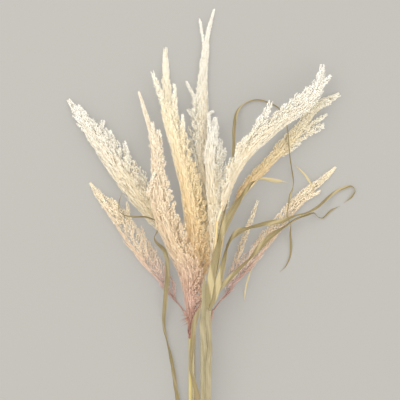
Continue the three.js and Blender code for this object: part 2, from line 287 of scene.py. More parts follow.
def plume_looks(name, slot, deep, light):
    """Silky hair, and its slot. The map runs from foot to tip, and from deep tones to pale ones."""
    shader = Shader(name, roughness=0.75, specular=0.15)
    shader.set("Sheen Weight", 0.25)
    shader.set("Sheen Roughness", 0.6)
    along, tone = shader.map_axes()
    grain = shader.noise(shader.times(along, 40.0), tone, detail=2.0)
    shift = shader.times(shader.math("SUBTRACT", grain, 0.5), 0.35)
    tone = shader.math("ADD", tone, shift, clamp=True)
    shader.paint(shader.mix(tone, shader.ramp(along, deep), shader.ramp(along, light)))
    return shader.material, slot


# ---- Pieces ----


def add_object(name, data):
    made = bpy.data.objects.new(name, data)
    bpy.context.scene.collection.objects.link(made)
    return made


def finish_piece(piece, node):
    """The piece stands for the CAD node: it hangs from the root body, and the node is hidden."""
    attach(piece, "root")
    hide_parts(node)


def on_map(*corners):
    """Places on the map, (faces, corners, 2), from the two values of each corner in turn."""
    return np.stack([np.stack(corner, 1) for corner in corners], 1)


def wall(layers, size, share, around, order):
    """The quads between rings of corners, and their places on the map: share has a value for each ring, and
    around for each corner and the first one again. order is the way round each quad."""
    faces, places = [], []
    first = np.arange(layers - 1) * size
    low, high = share[:-1], share[1:]
    for k in range(size):
        after = (k + 1) % size
        near = np.full(layers - 1, around[k])
        far = np.full(layers - 1, around[k + 1])
        quads = np.stack([first + k, first + size + k, first + size + after, first + after], 1)
        faces.append(quads[:, order])
        places.append(on_map((low, near), (high, near), (high, far), (low, far))[:, order])
    return faces, places


def add_mesh(name, corners, faces, places, material, smooth):
    """A mesh object: corners (n, 3), faces of one size (m, k), and a place on the map for each corner."""
    corners = corners.copy()
    corners[:, 2] = np.maximum(corners[:, 2], FLOOR_GAP)
    mesh = bpy.data.meshes.new(name)
    count, size = faces.shape
    mesh.vertices.add(len(corners))
    mesh.vertices.foreach_set("co", corners.astype(np.float32).ravel())
    mesh.loops.add(count * size)
    mesh.loops.foreach_set("vertex_index", faces.ravel().astype(np.int32))
    mesh.polygons.add(count)
    mesh.polygons.foreach_set("loop_start", np.arange(0, count * size, size, dtype=np.int32))
    mesh.polygons.foreach_set("use_smooth", np.full(count, smooth))
    layer = mesh.uv_layers.new(name=MAP)
    layer.data.foreach_set("uv", np.asarray(places, np.float32).ravel())
    mesh.materials.append(material)
    mesh.update(calc_edges=True)
    mesh.validate()
    return add_object(name, mesh)


# ---- Plumes ----

BRANCH_STEPS = 12
SILKY_END = 0.87  # the share of the length where the silky hair ends
TUFTS_END = 0.995  # the share of the length where the last branchlets end
TIP_START = 0.66  # the share of the length where the main axis ends in a frond of its own
STALK_OFFSET = 0.6  # how far the stalk lies to the silky side, as a share of the half width
THIN_STALK_OFFSET = 0.9  # the same in a thin plume
STALK_SIDES = 6
PLUME_FLATNESS = 0.7  # the height of a plume as a share of its width
SILKY_BRANCH_AREA = 40  # mm2 of a plume's outline for each silky branch
SILKY_HAIRS = 1.9  # for each mm2 of the outline
FILLING_HAIRS = 0.9  # for each mm2 of the outline
THIN_SHARE = 0.16  # how much of these a thin plume has
STREAKS = 64  # streaks of like tone in the filling
DEEPEST, PALEST = 0.02, 0.95  # tones of the branches under the hair


class Lump(NamedTuple):
    """A lump of splayed hair on a frond. Lengths are in mm."""

    gap: float  # along the frond, from one lump to the next
    size: float
    hair_width: float
    hairs: int


class Fronds(NamedTuple):
    """One kind of short frond on a plume. Lengths are in mm."""

    bearing: float  # the side of the plume that they grow on, as an angle round the stalk
    spread: float  # how far they stray from it
    spacing: float  # along the plume, from one crowd to the next
    crowd: int  # how many stand together
    reach: float  # how far out they end, as a share of the half width
    run: tuple  # the shortest and the longest
    lump: Lump
    rooted: float = 0.1  # how far out they start, as a share of the half width


LUMP = Lump(gap=2.2, size=4.3, hair_width=0.95, hairs=9)
THIN_LUMP = Lump(gap=2.4, size=4.2, hair_width=0.75, hairs=5)
SMALL_LUMP = Lump(gap=2.1, size=3.8, hair_width=0.95, hairs=6)
THIN_TIP_LUMP = Lump(gap=2.1, size=3.6, hair_width=0.85, hairs=4)


class Fluff:
    """Collects the triangles of one plume, with their places on the map."""

    def __init__(self):
        self.corners = []
        self.places = []

    def add(self, triangles, places):
        self.corners.append(triangles)
        self.places.append(places)

    def quads(self, a, b, c, d, low, high, tone, lift):
        """Pairs of triangles that run from low to high on the map, paler at b and c by the lift."""
        paler = tone + lift
        self.add(np.stack([a, b, c], 1), on_map((low, tone), (low, paler), (high, paler)))
        self.add(np.stack([a, c, d], 1), on_map((low, tone), (high, paler), (high, tone)))

    def hairs(self, root, heading, facing, length, width, along, tone, lift):
        """Thin triangles from each root. lift is how much paler the tip is than the root."""
        heading = unit(heading)
        across = unit(np.cross(heading, facing)) * (width / 2)[:, None]
        tip = root + heading * length[:, None]
        self.add(np.stack([root - across, root + across, tip], 1), hair_places(along, tone, lift))

    def ribbon(self, points, facing, width, along, tone):
        """Flat strips (strips, steps, 3) that narrow to their ends, a shade paler on one side."""
        heading = unit(np.gradient(points, axis=1))
        across = unit(np.cross(heading, facing)) * (width / 2)[..., None]
        left, right = points - across, points + across
        corners = left[:, :-1], right[:, :-1], right[:, 1:], left[:, 1:]
        corners = [corner.reshape(-1, 3) for corner in corners]
        low, high = along[:, :-1].ravel(), along[:, 1:].ravel()
        self.quads(*corners, low, high, np.repeat(tone, points.shape[1] - 1), lift=0.01)


def hair_places(along, tone, lift):
    """Each hair is a thin triangle on the map too."""
    half = 0.003
    along = np.clip(along, half, 1 - half)
    low = np.clip(tone, 0.005, 0.97)
    high = np.clip(tone + np.maximum(lift, 0.02), 0.02, 0.995)
    return on_map((along - half, low), (along + half, low), (along, high))


def hair_lift(rng, count):
    """How much paler each hair is at its tip."""
    return rng.uniform(0.03, 0.12, count)


def spots_along(axis, rng, count, foot):
    """Random shares of the length, more of them where the axis is wide. Tufts alone make the tip."""
    share = rng.uniform(foot, SILKY_END, count * 8)
    weight = axis.read("half_width", share) / axis.half_width.max()
    weight = np.maximum(weight, 0.15)
    return share[rng.uniform(0, 1, len(share)) < weight][:count]


def looseness_at(sideways, loose_side):
    """0 on the silky side of a plume and 1 on its tufted side."""
    return smoothstep((sideways * loose_side + 0.25) / 0.8)


def stretch_map(span, share):
    """A share of an axis's length, as a place on the part of the map that the span takes."""
    low, high = span
    return low + (high - low) * np.clip(share, 0, 1)


def branch_lines(axis, starts, ends, turn, first, last, rise):
    """Curves that leave the stalk and run forward: first and last are how far out they lie, as shares of
    the half width. rise is how early they spread."""
    t = np.linspace(0, 1, BRANCH_STEPS)[None, :]
    share = starts[:, None] + (ends - starts)[:, None] * t
    spread = first[:, None] + (last * np.cos(turn) - first)[:, None] * smoothstep(t * rise)
    climb = (last * np.sin(turn))[:, None] * smoothstep(t * rise)
    middle = axis.read("points", share)
    line = middle + axis.read("side", share) * (spread * axis.read("half_width", share))[..., None]
    line += axis.read("up", share) * (climb * axis.read("half_height", share))[..., None]
    facing = unit(line - middle + (0, 0, 1e-4))
    return t, share, line, facing


def spots_on(line, which, place):
    """Where hairs stand on the named branches: the step before each spot, the spot, and the way ahead."""
    at = place * (BRANCH_STEPS - 1)
    low = np.minimum(at.astype(int), BRANCH_STEPS - 2)
    part = (at - low)[:, None]
    spot = line[which, low] * (1 - part) + line[which, low + 1] * part
    ahead = unit(line[which, low + 1] - line[which, low])
    return low, spot, ahead


def silky_branches(fluff, axis, rng, loose_side, count, hairs, foot, thin):
    """Long branches that run forward side by side, with long hairs that lie along them."""
    ends = spots_along(axis, rng, count, foot)
    count = len(ends)
    run = rng.uniform(40, 90, count) * MM / axis.length
    starts = np.maximum(foot * 0.4, ends - run)
    turn = core_turns(rng, loose_side, count, thin)
    loose = looseness_at(np.cos(turn), loose_side)
    out = (0.3 + 0.7 * np.sqrt(rng.uniform(0, 1, count))) * (1.0 - 0.6 * loose)
    if thin:
        out = rng.uniform(0.7, 0.98, count)
    first = np.full(count, -loose_side * STALK_OFFSET)
    t, share, line, facing = branch_lines(axis, starts, ends, turn, first, out, rise=1.4)
    sway = rng.normal(0, 1, (count, 1, 3)) * 1.2 * MM
    line = line + sway * np.sin(t * np.pi * 1.5)[..., None]
    branch_tone = rng.uniform(0.1, 0.85, count) + 0.2 * loose
    shade = np.clip(branch_tone - 0.2, DEEPEST, PALEST)
    width = 0.8 * MM * (1 - 0.6 * t) * np.ones((count, 1))
    fluff.ribbon(line, facing, width, np.clip(share, 0, 1), shade)

    which = rng.integers(0, count, hairs)
    low, root, ahead = spots_on(line, which, rng.uniform(0, 1, hairs) ** 0.8)
    outward = facing[which, low]
    splay = np.radians(rng.uniform(2, 16, hairs) + loose[which] * rng.uniform(0, 25, hairs))
    scatter = unit(outward + rng.normal(0, 0.8, (hairs, 3)))
    heading = ahead * np.cos(splay)[:, None] + scatter * np.sin(splay)[:, None]
    tone = branch_tone[which] + rng.normal(0, 0.18, hairs)
    flat = lit_facing(rng, outward)
    length = rng.uniform(5, 10, hairs) * MM
    width = rng.uniform(0.35, 0.6, hairs) * MM
    along = np.clip(share[which, low] + rng.normal(0, 0.015, hairs), 0, 1)
    fluff.hairs(root, heading, flat, length, width, along, tone, hair_lift(rng, hairs))


def core_turns(rng, loose_side, count, thin):
    """Where round the stalk the silky hair grows: everywhere, or on its own side alone in a thin plume."""
    if not thin:
        return rng.uniform(0, 2 * np.pi, count)
    return (np.pi if loose_side > 0 else 0.0) + rng.normal(0, 0.45, count)


def lit_facing(rng, outward):
    """Which way a hair's flat side looks: outwards and a little up, to catch the light."""
    upper = (outward[:, 2:3] > -0.2) * np.array([[0, 0, 0.7]])
    return unit(outward + upper + rng.normal(0, 0.35, outward.shape))


def tuft_places(axis, rng, spacing, crowd, foot):
    """Shares of the length where branchlets end, in crowds with gaps between them, and each one's crowd."""
    steps = rng.uniform(0.7, 1.3, 400) * spacing * MM / axis.length
    middles = np.cumsum(steps) + foot
    middles = np.append(middles[middles < 0.97], TUFTS_END)
    group = np.repeat(np.arange(len(middles)), crowd)
    share = middles[group] + rng.normal(0, 0.14, len(group)) * spacing * MM / axis.length
    return np.clip(share, foot, TUFTS_END), group


def branchlets(fluff, axis, rng, fronds, foot, span):
    """Short fronds in separate crowds. Those near the plume's tip stand all round it."""
    ends, group = tuft_places(axis, rng, fronds.spacing, fronds.crowd, foot)
    count = len(ends)
    groups = group[-1] + 1
    lean = rng.normal(0, fronds.spread, groups)
    near_tip = ends[group.searchsorted(np.arange(groups))] > 0.86
    lean = np.where(near_tip, rng.uniform(-np.pi, np.pi, groups), lean)
    turn = fronds.bearing + lean[group] + rng.normal(0, 0.3, count)
    stand = rng.uniform(0.8, 1.05, groups)[group] * rng.uniform(0.72, 1.05, count) * fronds.reach
    length = rng.uniform(*fronds.run, count) * MM / axis.length
    starts = np.maximum(0, ends - length)
    first = np.cos(fronds.bearing) * fronds.rooted + rng.uniform(-0.15, 0.15, count)
    t, share, line, facing = branch_lines(axis, starts, ends, turn, first, stand, rise=1.1)
    tone = rng.uniform(0.7, 1.0, groups)[group]
    shade = np.clip(tone - 0.4, DEEPEST, PALEST)
    width = 0.7 * MM * (1 - 0.5 * t) * np.ones((count, 1))
    fluff.ribbon(line, facing, width, stretch_map(span, share), shade)
    lumps_along(fluff, rng, line, share, facing, tone, span, fronds.lump)


def lumps_along(fluff, rng, line, share, facing, tone, span, lump):
    """Lumps of splayed hair along each frond, left and right in turn."""
    lengths = np.linalg.norm(np.diff(line, axis=1), axis=2).sum(1) / MM
    per = np.maximum(3, (0.8 * lengths / lump.gap).astype(int))
    which = np.repeat(np.arange(len(line)), per)
    count = len(which)
    order = np.arange(count) - np.repeat(np.cumsum(per) - per, per)
    place = 0.2 + 0.8 * (order + rng.uniform(-0.25, 0.25, count) + 0.5) / per[which]
    low, root, ahead = spots_on(line, which, np.clip(place, 0, 1))
    outward = facing[which, low]
    along = share[which, low]
    sideways = unit(np.cross(ahead, outward)) * (1 - 2 * (order % 2))[:, None]
    open_angle = np.radians(rng.uniform(28, 60, count)) * (1.1 - 0.6 * place)
    aim = ahead * np.cos(open_angle)[:, None] + sideways * np.sin(open_angle)[:, None]
    aim = unit(aim + outward * rng.uniform(0, 1.0, count)[:, None])
    lump_tone = np.clip(tone[which] + rng.normal(0, 0.2, count), 0.1, 1.0)
    slim = 1 - 0.45 * smoothstep((along - 0.8) / 0.2)
    lump_size = lump.size * rng.uniform(0.8, 1.2, count) * (1.1 - 0.35 * place) * slim

    hair = np.repeat(np.arange(count), lump.hairs)
    hairs = len(hair)
    heading = unit(aim[hair] + rng.normal(0, 0.36, (hairs, 3)))
    start = root[hair] + aim[hair] * (rng.uniform(0, 0.35, hairs) * lump_size[hair] * MM)[:, None]
    flat = lit_facing(rng, outward[hair])
    length = rng.uniform(0.6, 1.0, hairs) * lump_size[hair] * MM
    width = rng.uniform(0.8, 1.25, hairs) * lump.hair_width * MM
    along = stretch_map(span, along[hair] + rng.normal(0, 0.008, hairs))
    hair_tone = lump_tone[hair] - rng.uniform(0, 0.12, hairs)
    fluff.hairs(start, heading, flat, length, width, along, hair_tone, hair_lift(rng, hairs))


def filling(fluff, axis, rng, loose_side, count, foot, thin):
    """Hairs all through the silky side, along the way the plume widens, in streaks of like tone."""
    share = spots_along(axis, rng, count, foot * 0.6)
    count = len(share)
    turn = core_turns(rng, loose_side, count, thin)
    loose = looseness_at(np.cos(turn), loose_side)
    inmost = 0.5 if thin else 0.02
    out = np.sqrt(rng.uniform(inmost, 1, count)) * (0.95 - 0.6 * loose)
    sideways, upward = out * np.cos(turn), out * np.sin(turn)
    side, up = axis.read("side", share), axis.read("up", share)
    root = axis.read("points", share) + side * (sideways * axis.read("half_width", share))[:, None]
    root += up * (upward * axis.read("half_height", share))[:, None]
    widening = np.gradient(axis.half_width, axis.share * axis.length)
    widening = np.interp(share, axis.share, widening)
    outward = unit(side * np.cos(turn)[:, None] + up * np.sin(turn)[:, None])
    stray = outward * (0.05 + 0.2 * loose * rng.uniform(0, 1, count))[:, None]
    stray = stray + rng.normal(0, 0.09, (count, 3))
    heading = axis.read("tangent", share) + side * (sideways * widening)[:, None] + stray
    streaks = rng.uniform(0.0, 0.8, STREAKS)
    streak = (turn / (2 * np.pi) * 30 + share * 5) % (STREAKS - 1)
    tone = np.interp(streak, np.arange(STREAKS), streaks) + 0.22 * loose + rng.normal(0, 0.12, count)
    length = rng.uniform(7, 12, count) * MM * (1 - 0.4 * loose)
    flat = lit_facing(rng, outward)
    width = rng.uniform(0.45, 0.7, count) * MM
    along = np.clip(share + rng.normal(0, 0.01, count), 0, 1)
    fluff.hairs(root, heading, flat, length, width, along, tone, hair_lift(rng, count))


def grow(fluff, axis, rng, loose_side, thin, foot):
    """Everything around a plume's main axis. loose_side is 1 for tufts on its right and -1 on its left."""
    area = axis.area() / MM**2
    amount = THIN_SHARE if thin else 1.0
    branches = int(amount * area / SILKY_BRANCH_AREA)
    hairs = int(amount * SILKY_HAIRS * area)
    silky_branches(fluff, axis, rng, loose_side, branches, hairs, foot, thin)
    filling(fluff, axis, rng, loose_side, int(amount * FILLING_HAIRS * area), foot, thin)
    loose = 0.0 if loose_side > 0 else np.pi
    shoulder = np.pi / 2 - loose_side * 0.75
    crest = np.pi / 2 - loose_side * 0.2
    if thin:
        kinds = [
            (0.05, Fronds(loose, 0.5, 8, 3, 1.15, (30, 52), THIN_LUMP, rooted=-0.7)),
            (0.05, Fronds(shoulder, 0.4, 10, 2, 1.0, (24, 40), THIN_LUMP, rooted=-0.7)),
        ]
    else:
        kinds = [
            (0.05, Fronds(loose, 0.35, 13, 5, 1.25, (16, 32), LUMP)),
            (0.05, Fronds(shoulder, 0.4, 8, 4, 1.12, (14, 26), LUMP)),
            (0.1, Fronds(crest, 0.4, 8, 3, 1.1, (12, 22), LUMP)),
        ]
    for past_foot, fronds in kinds:
        branchlets(fluff, axis, rng, fronds, foot + past_foot, span=(0.0, 1.0))


def grow_finger(fluff, axis, rng, span):
    """A side branch: a thin stalk with short knobbly branchlets all round."""
    for bearing in (0.0, np.pi, np.pi / 2):
        branchlets(fluff, axis, rng, Fronds(bearing, 0.6, 4.5, 2, 1.05, (6, 12), SMALL_LUMP), 0.02, span)


def grow_tip(fluff, axis, rng, thin):
    """The end of a plume, which is like a side branch but has longer branchlets."""
    spacing, crowd, lump = (7, 2, THIN_TIP_LUMP) if thin else (6, 3, SMALL_LUMP)
    tip = axis.end_part(TIP_START)
    for bearing in (0.0, np.pi, np.pi / 2 - 0.5, np.pi / 2 + 0.5):
        fronds = Fronds(bearing, 0.5, spacing, crowd, 1.05, (12, 22), lump)
        branchlets(fluff, tip, rng, fronds, 0.02, (TIP_START, 1.0))


def broken_stubs(fluff, axis, rng, count):
    """A few broken branchlets that stick out to the left by the plume's foot."""
    at = np.full(count, 0.08) + rng.uniform(-0.012, 0.012, count)
    aim = unit(np.array((-0.9, -0.4, 0.15)) + rng.normal(0, 0.22, (count, 3)))
    root = axis.read("points", at) + aim * 0.8 * axis.read("half_width", at)[:, None]
    upwards = np.tile([0.0, 0.0, 1.0], (count, 1))
    length = rng.uniform(14, 20, count) * MM
    width = rng.uniform(0.9, 1.2, count) * MM
    tone = np.full(count, 0.05)
    fluff.hairs(root, aim, upwards, length, width, np.zeros(count), tone, tone)


def stalk_inside(fluff, axis, radius, loose_side, offset):
    """The plume's own stalk, a tapering tube near the silky side, for three quarters of the length."""
    upto = 0.75
    share = np.linspace(0, upto, 30)
    side, up = axis.read("side", share), axis.read("up", share)
    shift = -loose_side * offset * np.maximum(axis.read("half_width", share) - 2 * radius, 0)
    middle = axis.read("points", share) + side * shift[:, None]
    size = radius * (1 - 0.75 * share / upto)
    turns = np.linspace(0, 2 * np.pi, STALK_SIDES + 1)
    rings = np.stack([middle + (side * np.cos(a) + up * np.sin(a)) * size[:, None] for a in turns], 1)
    for k in range(STALK_SIDES):
        corners = rings[:-1, k], rings[:-1, k + 1], rings[1:, k + 1], rings[1:, k]
        tone = np.full(len(share) - 1, 0.03 + 0.02 * k)
        fluff.quads(*corners, share[:-1], share[1:], tone, lift=0.02)


def heights_inside(node, flat):
    """The middle height of a CAD node under and over each flat point."""
    mesh = bmesh.new()
    mesh.from_mesh(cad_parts[node].data)
    tree = BVHTree.FromBMesh(mesh)
    mesh.free()
    heights = []
    for x, y in flat:
        over = tree.ray_cast(Vector((x, y, 1.0)), Vector((0, 0, -1)))[0]
        under = tree.ray_cast(Vector((x, y, -1.0)), Vector((0, 0, 1)))[0]
        heights.append(np.nan if over is None else (over.z + under.z) / 2)
    heights = np.array(heights)
    known = ~np.isnan(heights)
    return np.interp(np.arange(len(heights)), np.flatnonzero(known), heights[known])


def main_axis(node, table):
    """A plume's axis from its table of x, y and width, in mm, at the heights of its CAD node."""
    flat = to_row([(x, y) for x, y, _ in table])
    counts = [16] * (len(table) - 1)
    flat = curve_through(flat, counts)
    width = values_along([w for _, _, w in table], counts) * MM
    points = np.column_stack([flat, heights_inside(node, flat)])
    return Axis(points, width / 2, width / 2 * PLUME_FLATNESS)


def finger_axis(main, finger):
    """A side branch's axis, and the share of the main one where it starts."""
    from_x, from_y, to_x, to_y, width = finger
    ends = to_row([(from_x, from_y), (to_x, to_y)])
    nearest = np.linalg.norm(main.points[:, :2] - ends[0], axis=1).argmin()
    t = np.linspace(0, 1, AXIS_SAMPLES)
    flat = ends[0] + (ends[1] - ends[0]) * t[:, None]
    points = np.column_stack([flat, np.full(len(t), main.points[nearest, 2])])
    taper = (1 - 0.55 * t**2) * width / 2 * MM
    return Axis(points, taper, np.minimum(taper, 0.8 * main.half_height[nearest])), main.share[nearest]


def plume(name, seed, table, fingers, loose_side, looks, foot=0.12, thin=False, stalk=1.8, stubs=0):
    """A plume on its CAD node's line, in mm. Each finger is a side branch: from x, y to x, y, and its
    width. foot is the share of the length where the hair starts. A thin plume is open. stalk is the
    stalk's radius, and stubs counts the broken branchlets by the foot."""
    material, slot = looks
    rng = np.random.default_rng(seed)
    fluff = Fluff()
    axis = main_axis(f"plume_{name}", table)
    stalk_inside(fluff, axis, stalk * MM, loose_side, THIN_STALK_OFFSET if thin else STALK_OFFSET)
    grow(fluff, axis, rng, loose_side, thin, foot)
    grow_tip(fluff, axis, rng, thin)
    for finger in fingers:
        branch, share = finger_axis(axis, finger)
        grow_finger(fluff, branch, rng, (share, 1.0))
    if stubs:
        broken_stubs(fluff, axis, rng, stubs)
    corners = np.concatenate(fluff.corners).reshape(-1, 3)
    places = np.concatenate(fluff.places).reshape(-1, 2)
    faces = np.arange(len(corners)).reshape(-1, 3)
    piece = add_mesh(f"plume_{name}_hair", corners, faces, places, material, smooth=False)
    finish_piece(piece, f"plume_{name}")


CREAM = plume_looks(
    "silky cream hair", "plume_cream",
    deep={0.0: (226, 204, 166), 0.35: (240, 221, 180), 0.75: (242, 232, 210), 1.0: (242, 236, 222)},
    light={0.0: (248, 241, 222), 0.35: (251, 246, 230), 1.0: (252, 250, 244)},
)
GOLD = plume_looks(
    "silky gold hair", "plume_gold",
    deep={0.0: (246, 206, 156), 0.3: (250, 220, 166), 0.7: (250, 236, 200), 1.0: (248, 238, 214)},
    light={0.0: (250, 228, 188), 0.35: (253, 238, 200), 0.7: (254, 247, 226), 1.0: (255, 252, 242)},
)
ROSE = plume_looks(
    "silky rose hair", "plume_pink",
    deep={0.0: (160, 114, 102), 0.2: (204, 162, 148), 0.45: (230, 200, 172), 1.0: (240, 226, 196)},
    light={0.0: (222, 190, 178), 0.2: (240, 218, 206), 0.45: (248, 234, 206), 1.0: (252, 244, 222)},
)
BEIGE = plume_looks(
    "silky beige hair", "plume_pink",
    deep={0.0: (142, 92, 78), 0.14: (196, 150, 126), 0.35: (220, 190, 152), 1.0: (238, 224, 196)},
    light={0.0: (196, 148, 130), 0.14: (236, 206, 188), 0.35: (246, 230, 200), 1.0: (254, 248, 234)},
)

plume(
    "left_low", 11,
    [(-20, 43, 8), (-49, 92, 24), (-83, 137, 34), (-115, 182, 36), (-144, 219, 28), (-169, 246, 14),
     (-191, 275, 4)],
    [(-121, 200, -122, 240, 5), (-138, 206, -153, 247, 8), (-130, 200, -146, 243, 7)],
    loose_side=1, looks=ROSE, thin=True, stalk=1.2)
plume(
    "left", 12,
    [(-12, 130, 8), (-40, 183, 38), (-82, 236, 48), (-127, 293, 50), (-170, 349, 38), (-203, 389, 24),
     (-231, 426, 5)],
    [(-195, 375, -212, 416, 10), (-176, 352, -166, 388, 12), (-162, 338, -153, 370, 10),
     (-117, 297, -128, 350, 11), (-91, 262, -104, 300, 11)],
    loose_side=1, looks=CREAM)
plume(
    "tall", 13,
    [(18, 95, 8), (17, 150, 30), (16, 200, 36), (13, 261, 38), (9, 333, 34), (9, 396, 30),
     (14, 450, 16), (18, 504, 11), (24, 548, 5), (35, 590, 2)],
    [(8, 410, -16, 458, 5), (17, 520, 8, 572, 2), (12, 392, 34, 404, 6), (8, 385, -14, 408, 8)],
    loose_side=-1, looks=CREAM)
plume(
    "right_mid", 14,
    [(56, 206, 8), (72, 236, 12), (92, 265, 15), (122, 299, 17), (142, 320, 19), (162, 342, 22),
     (186, 368, 18), (220, 411, 14), (263, 435, 7)],
    [(152, 326, 192, 348, 14), (166, 345, 236, 380, 17), (184, 362, 240, 399, 9),
     (214, 408, 248, 420, 8)],
    loose_side=-1, looks=GOLD)
plume(
    "right_low", 15,
    [(33, 45, 8), (60, 88, 20), (94, 129, 26), (129, 172, 24), (167, 220, 22), (199, 253, 18),
     (232, 281, 10), (256, 303, 5)],
    [(60, 92, 114, 243, 10), (190, 240, 228, 259, 7)],
    loose_side=-1, looks=ROSE, thin=True, stalk=1.2)
plume(
    "centre", 16,
    [(11, 78, 12), (8, 110, 34), (5, 140, 42), (0, 212, 42), (-13, 279, 36), (-31, 346, 34),
     (-46, 394, 28), (-52, 450, 12), (-54, 522, 7)],
    [(-46, 385, -77, 476, 12), (-34, 372, -38, 453, 9), (-22, 340, -22, 398, 8)],
    loose_side=1, looks=GOLD, foot=0.03)
plume(
    "centre_right", 17,
    [(34, 125, 8), (38, 170, 22), (40, 215, 32), (39, 261, 38), (33, 324, 34), (34, 366, 18),
     (37, 393, 5)],
    [(26, 335, 25, 399, 7), (42, 300, 56, 336, 9)],
    loose_side=1, looks=CREAM)
plume(
    "right_high", 18,
    [(40, 206, 8), (49, 236, 13), (59, 268, 18), (73, 303, 26), (90, 331, 32), (113, 354, 33),
     (139, 374, 29), (169, 397, 30), (192, 415, 33), (218, 441, 24), (231, 488, 7)],
    [(106, 345, 136, 421, 15), (104, 350, 118, 397, 12), (84, 316, 88, 356, 13),
     (204, 424, 245, 467, 11), (168, 398, 181, 424, 11), (190, 412, 200, 434, 11)],
    loose_side=-1, looks=CREAM)
plume(
    "centre_left", 19,
    [(-8, -5, 9), (-5, 25, 15), (-5, 60, 28), (-8, 112, 42), (-38, 176, 42), (-58, 232, 42),
     (-66, 293, 24), (-71, 340, 19), (-84, 382, 5), (-102, 440, 2)],
    [(-64, 340, -66, 370, 10), (-74, 350, -77, 384, 6), (-60, 240, -42, 262, 12),
     (-84, 248, -70, 294, 12)],
    loose_side=1, looks=BEIGE, foot=0.02, stalk=4.2, stubs=7)

# ---- Leaves ----

BLADE_STEP = 2.5 * MM
HALF_SECTION = 12
ACROSS = np.linspace(-1, 1, HALF_SECTION)  # from rim to rim
KEEL = 0.16  # how deep the fold along the rib is, as a share of the half width
RIPPLE = 0.06  # how high the waves of the rims are, as a share of the half width
BLADE_THICKNESS = 0.6  # in mm
TIP_LENGTH = 18 * MM  # over which a leaf narrows to its tip
BASE_LENGTH = 22 * MM  # over which it widens from its base
MAP_UNIT = 10 * MM  # the length along a leaf or culm that its patterns take as one
TURN = 6.28


def blade_material(name, length, fresh, dry, back):
    """A dry leaf: fine fibres along it, a pale rim and rib, bleached stretches, and a paler back."""
    shader = Shader(name, roughness=0.62, specular=0.35)
    along, across = shader.map_axes()
    run = shader.times(along, length / MAP_UNIT)
    fibres = shader.noise(shader.times(run, 0.08), shader.times(across, 90.0), detail=3.0)
    patches = shader.noise(shader.times(run, 0.3), shader.times(across, 3.0), detail=2.0)
    # the bleached stretches start and end aslant, as where a blade turns over
    slanted = shader.math("ADD", shader.times(run, 0.22), shader.times(across, 1.6))
    stretches = shader.noise(slanted, 0.0, detail=0.0)
    # each face takes half of the map: 0 at its rims and 1 along its rib
    inwards = shader.times(shader.math("PINGPONG", across, 0.25), 4.0)
    rim = shader.span(shader.math("SUBTRACT", 1.0, inwards), 0.72, 1.0)
    rib = shader.span(inwards, 0.88, 0.97)
    on_back = shader.span(across, 0.495, 0.505)
    tint = shader.mix(shader.span(fibres, 0.35, 0.68), fresh, dry)
    for mask, amount, other in (
        (shader.span(patches, 0.52, 0.75), 0.7, dry),
        (rim, 0.45, dry),
        (rib, 0.35, dry),
        (shader.span(stretches, 0.54, 0.66), 0.42, back),
        (on_back, 0.6, back),
    ):
        tint = shader.mix(shader.times(mask, amount), tint, other)
    shader.paint(tint)
    shader.bump(fibres, strength=0.35, distance=0.3 * MM)
    return shader.material


def blade_frames(node):
    """The middle line of a CAD leaf, the direction across it and its width, ring by ring."""
    middles, across, widths = [], [], []
    for ring in rings_of(node, BLADE_SIDES):
        _, thin, wide, diagonal = np.argsort(np.linalg.norm(ring - ring[0], axis=1))
        span = (ring[wide] - ring[0] + ring[diagonal] - ring[thin]) / 2
        middles.append(ring.mean(0))
        across.append(unit(span))
        widths.append(np.linalg.norm(span))
    middles, across = np.array(middles), np.array(across)
    if np.cross(across[0], middles[1] - middles[0])[2] < 0:
        across[0] = -across[0]
    for i in range(1, len(across)):
        if across[i] @ across[i - 1] < 0:
            across[i] = -across[i]
    return middles, across, np.array(widths)


def blade_heights(rng, here, half):
    """How far a leaf rises from its plane, by its fold and by the waves of its rims."""
    phase, wave = rng.uniform(0, TURN, 2), rng.uniform(24, 40, 2) * MM
    ripple = np.sin(here[:, None] / wave[0] * TURN + phase[0]) * np.maximum(ACROSS, 0) ** 2
    ripple += np.sin(here[:, None] / wave[1] * TURN + phase[1]) * np.maximum(-ACROSS, 0) ** 2
    return KEEL * half[:, None] * (np.abs(ACROSS) ** 1.2 - 0.5) + RIPPLE * half[:, None] * ripple


def blade_ends(rings, size, around):
    """The faces that close a leaf's base and its tip, with their places on the map."""
    faces, places = [], []
    for ring, at in ((0, 0.0), (rings - 1, 1.0)):
        for k in range(HALF_SECTION - 1):
            quad = [k, k + 1, size - 2 - k, size - 1 - k]
            if ring == 0:
                quad.reverse()
            faces.append(np.array([[ring * size + q for q in quad]]))
            places.append(np.array([[(abs(at - 0.002 * (j % 2)), around[q]) for j, q in enumerate(quad)]]))
    return faces, places


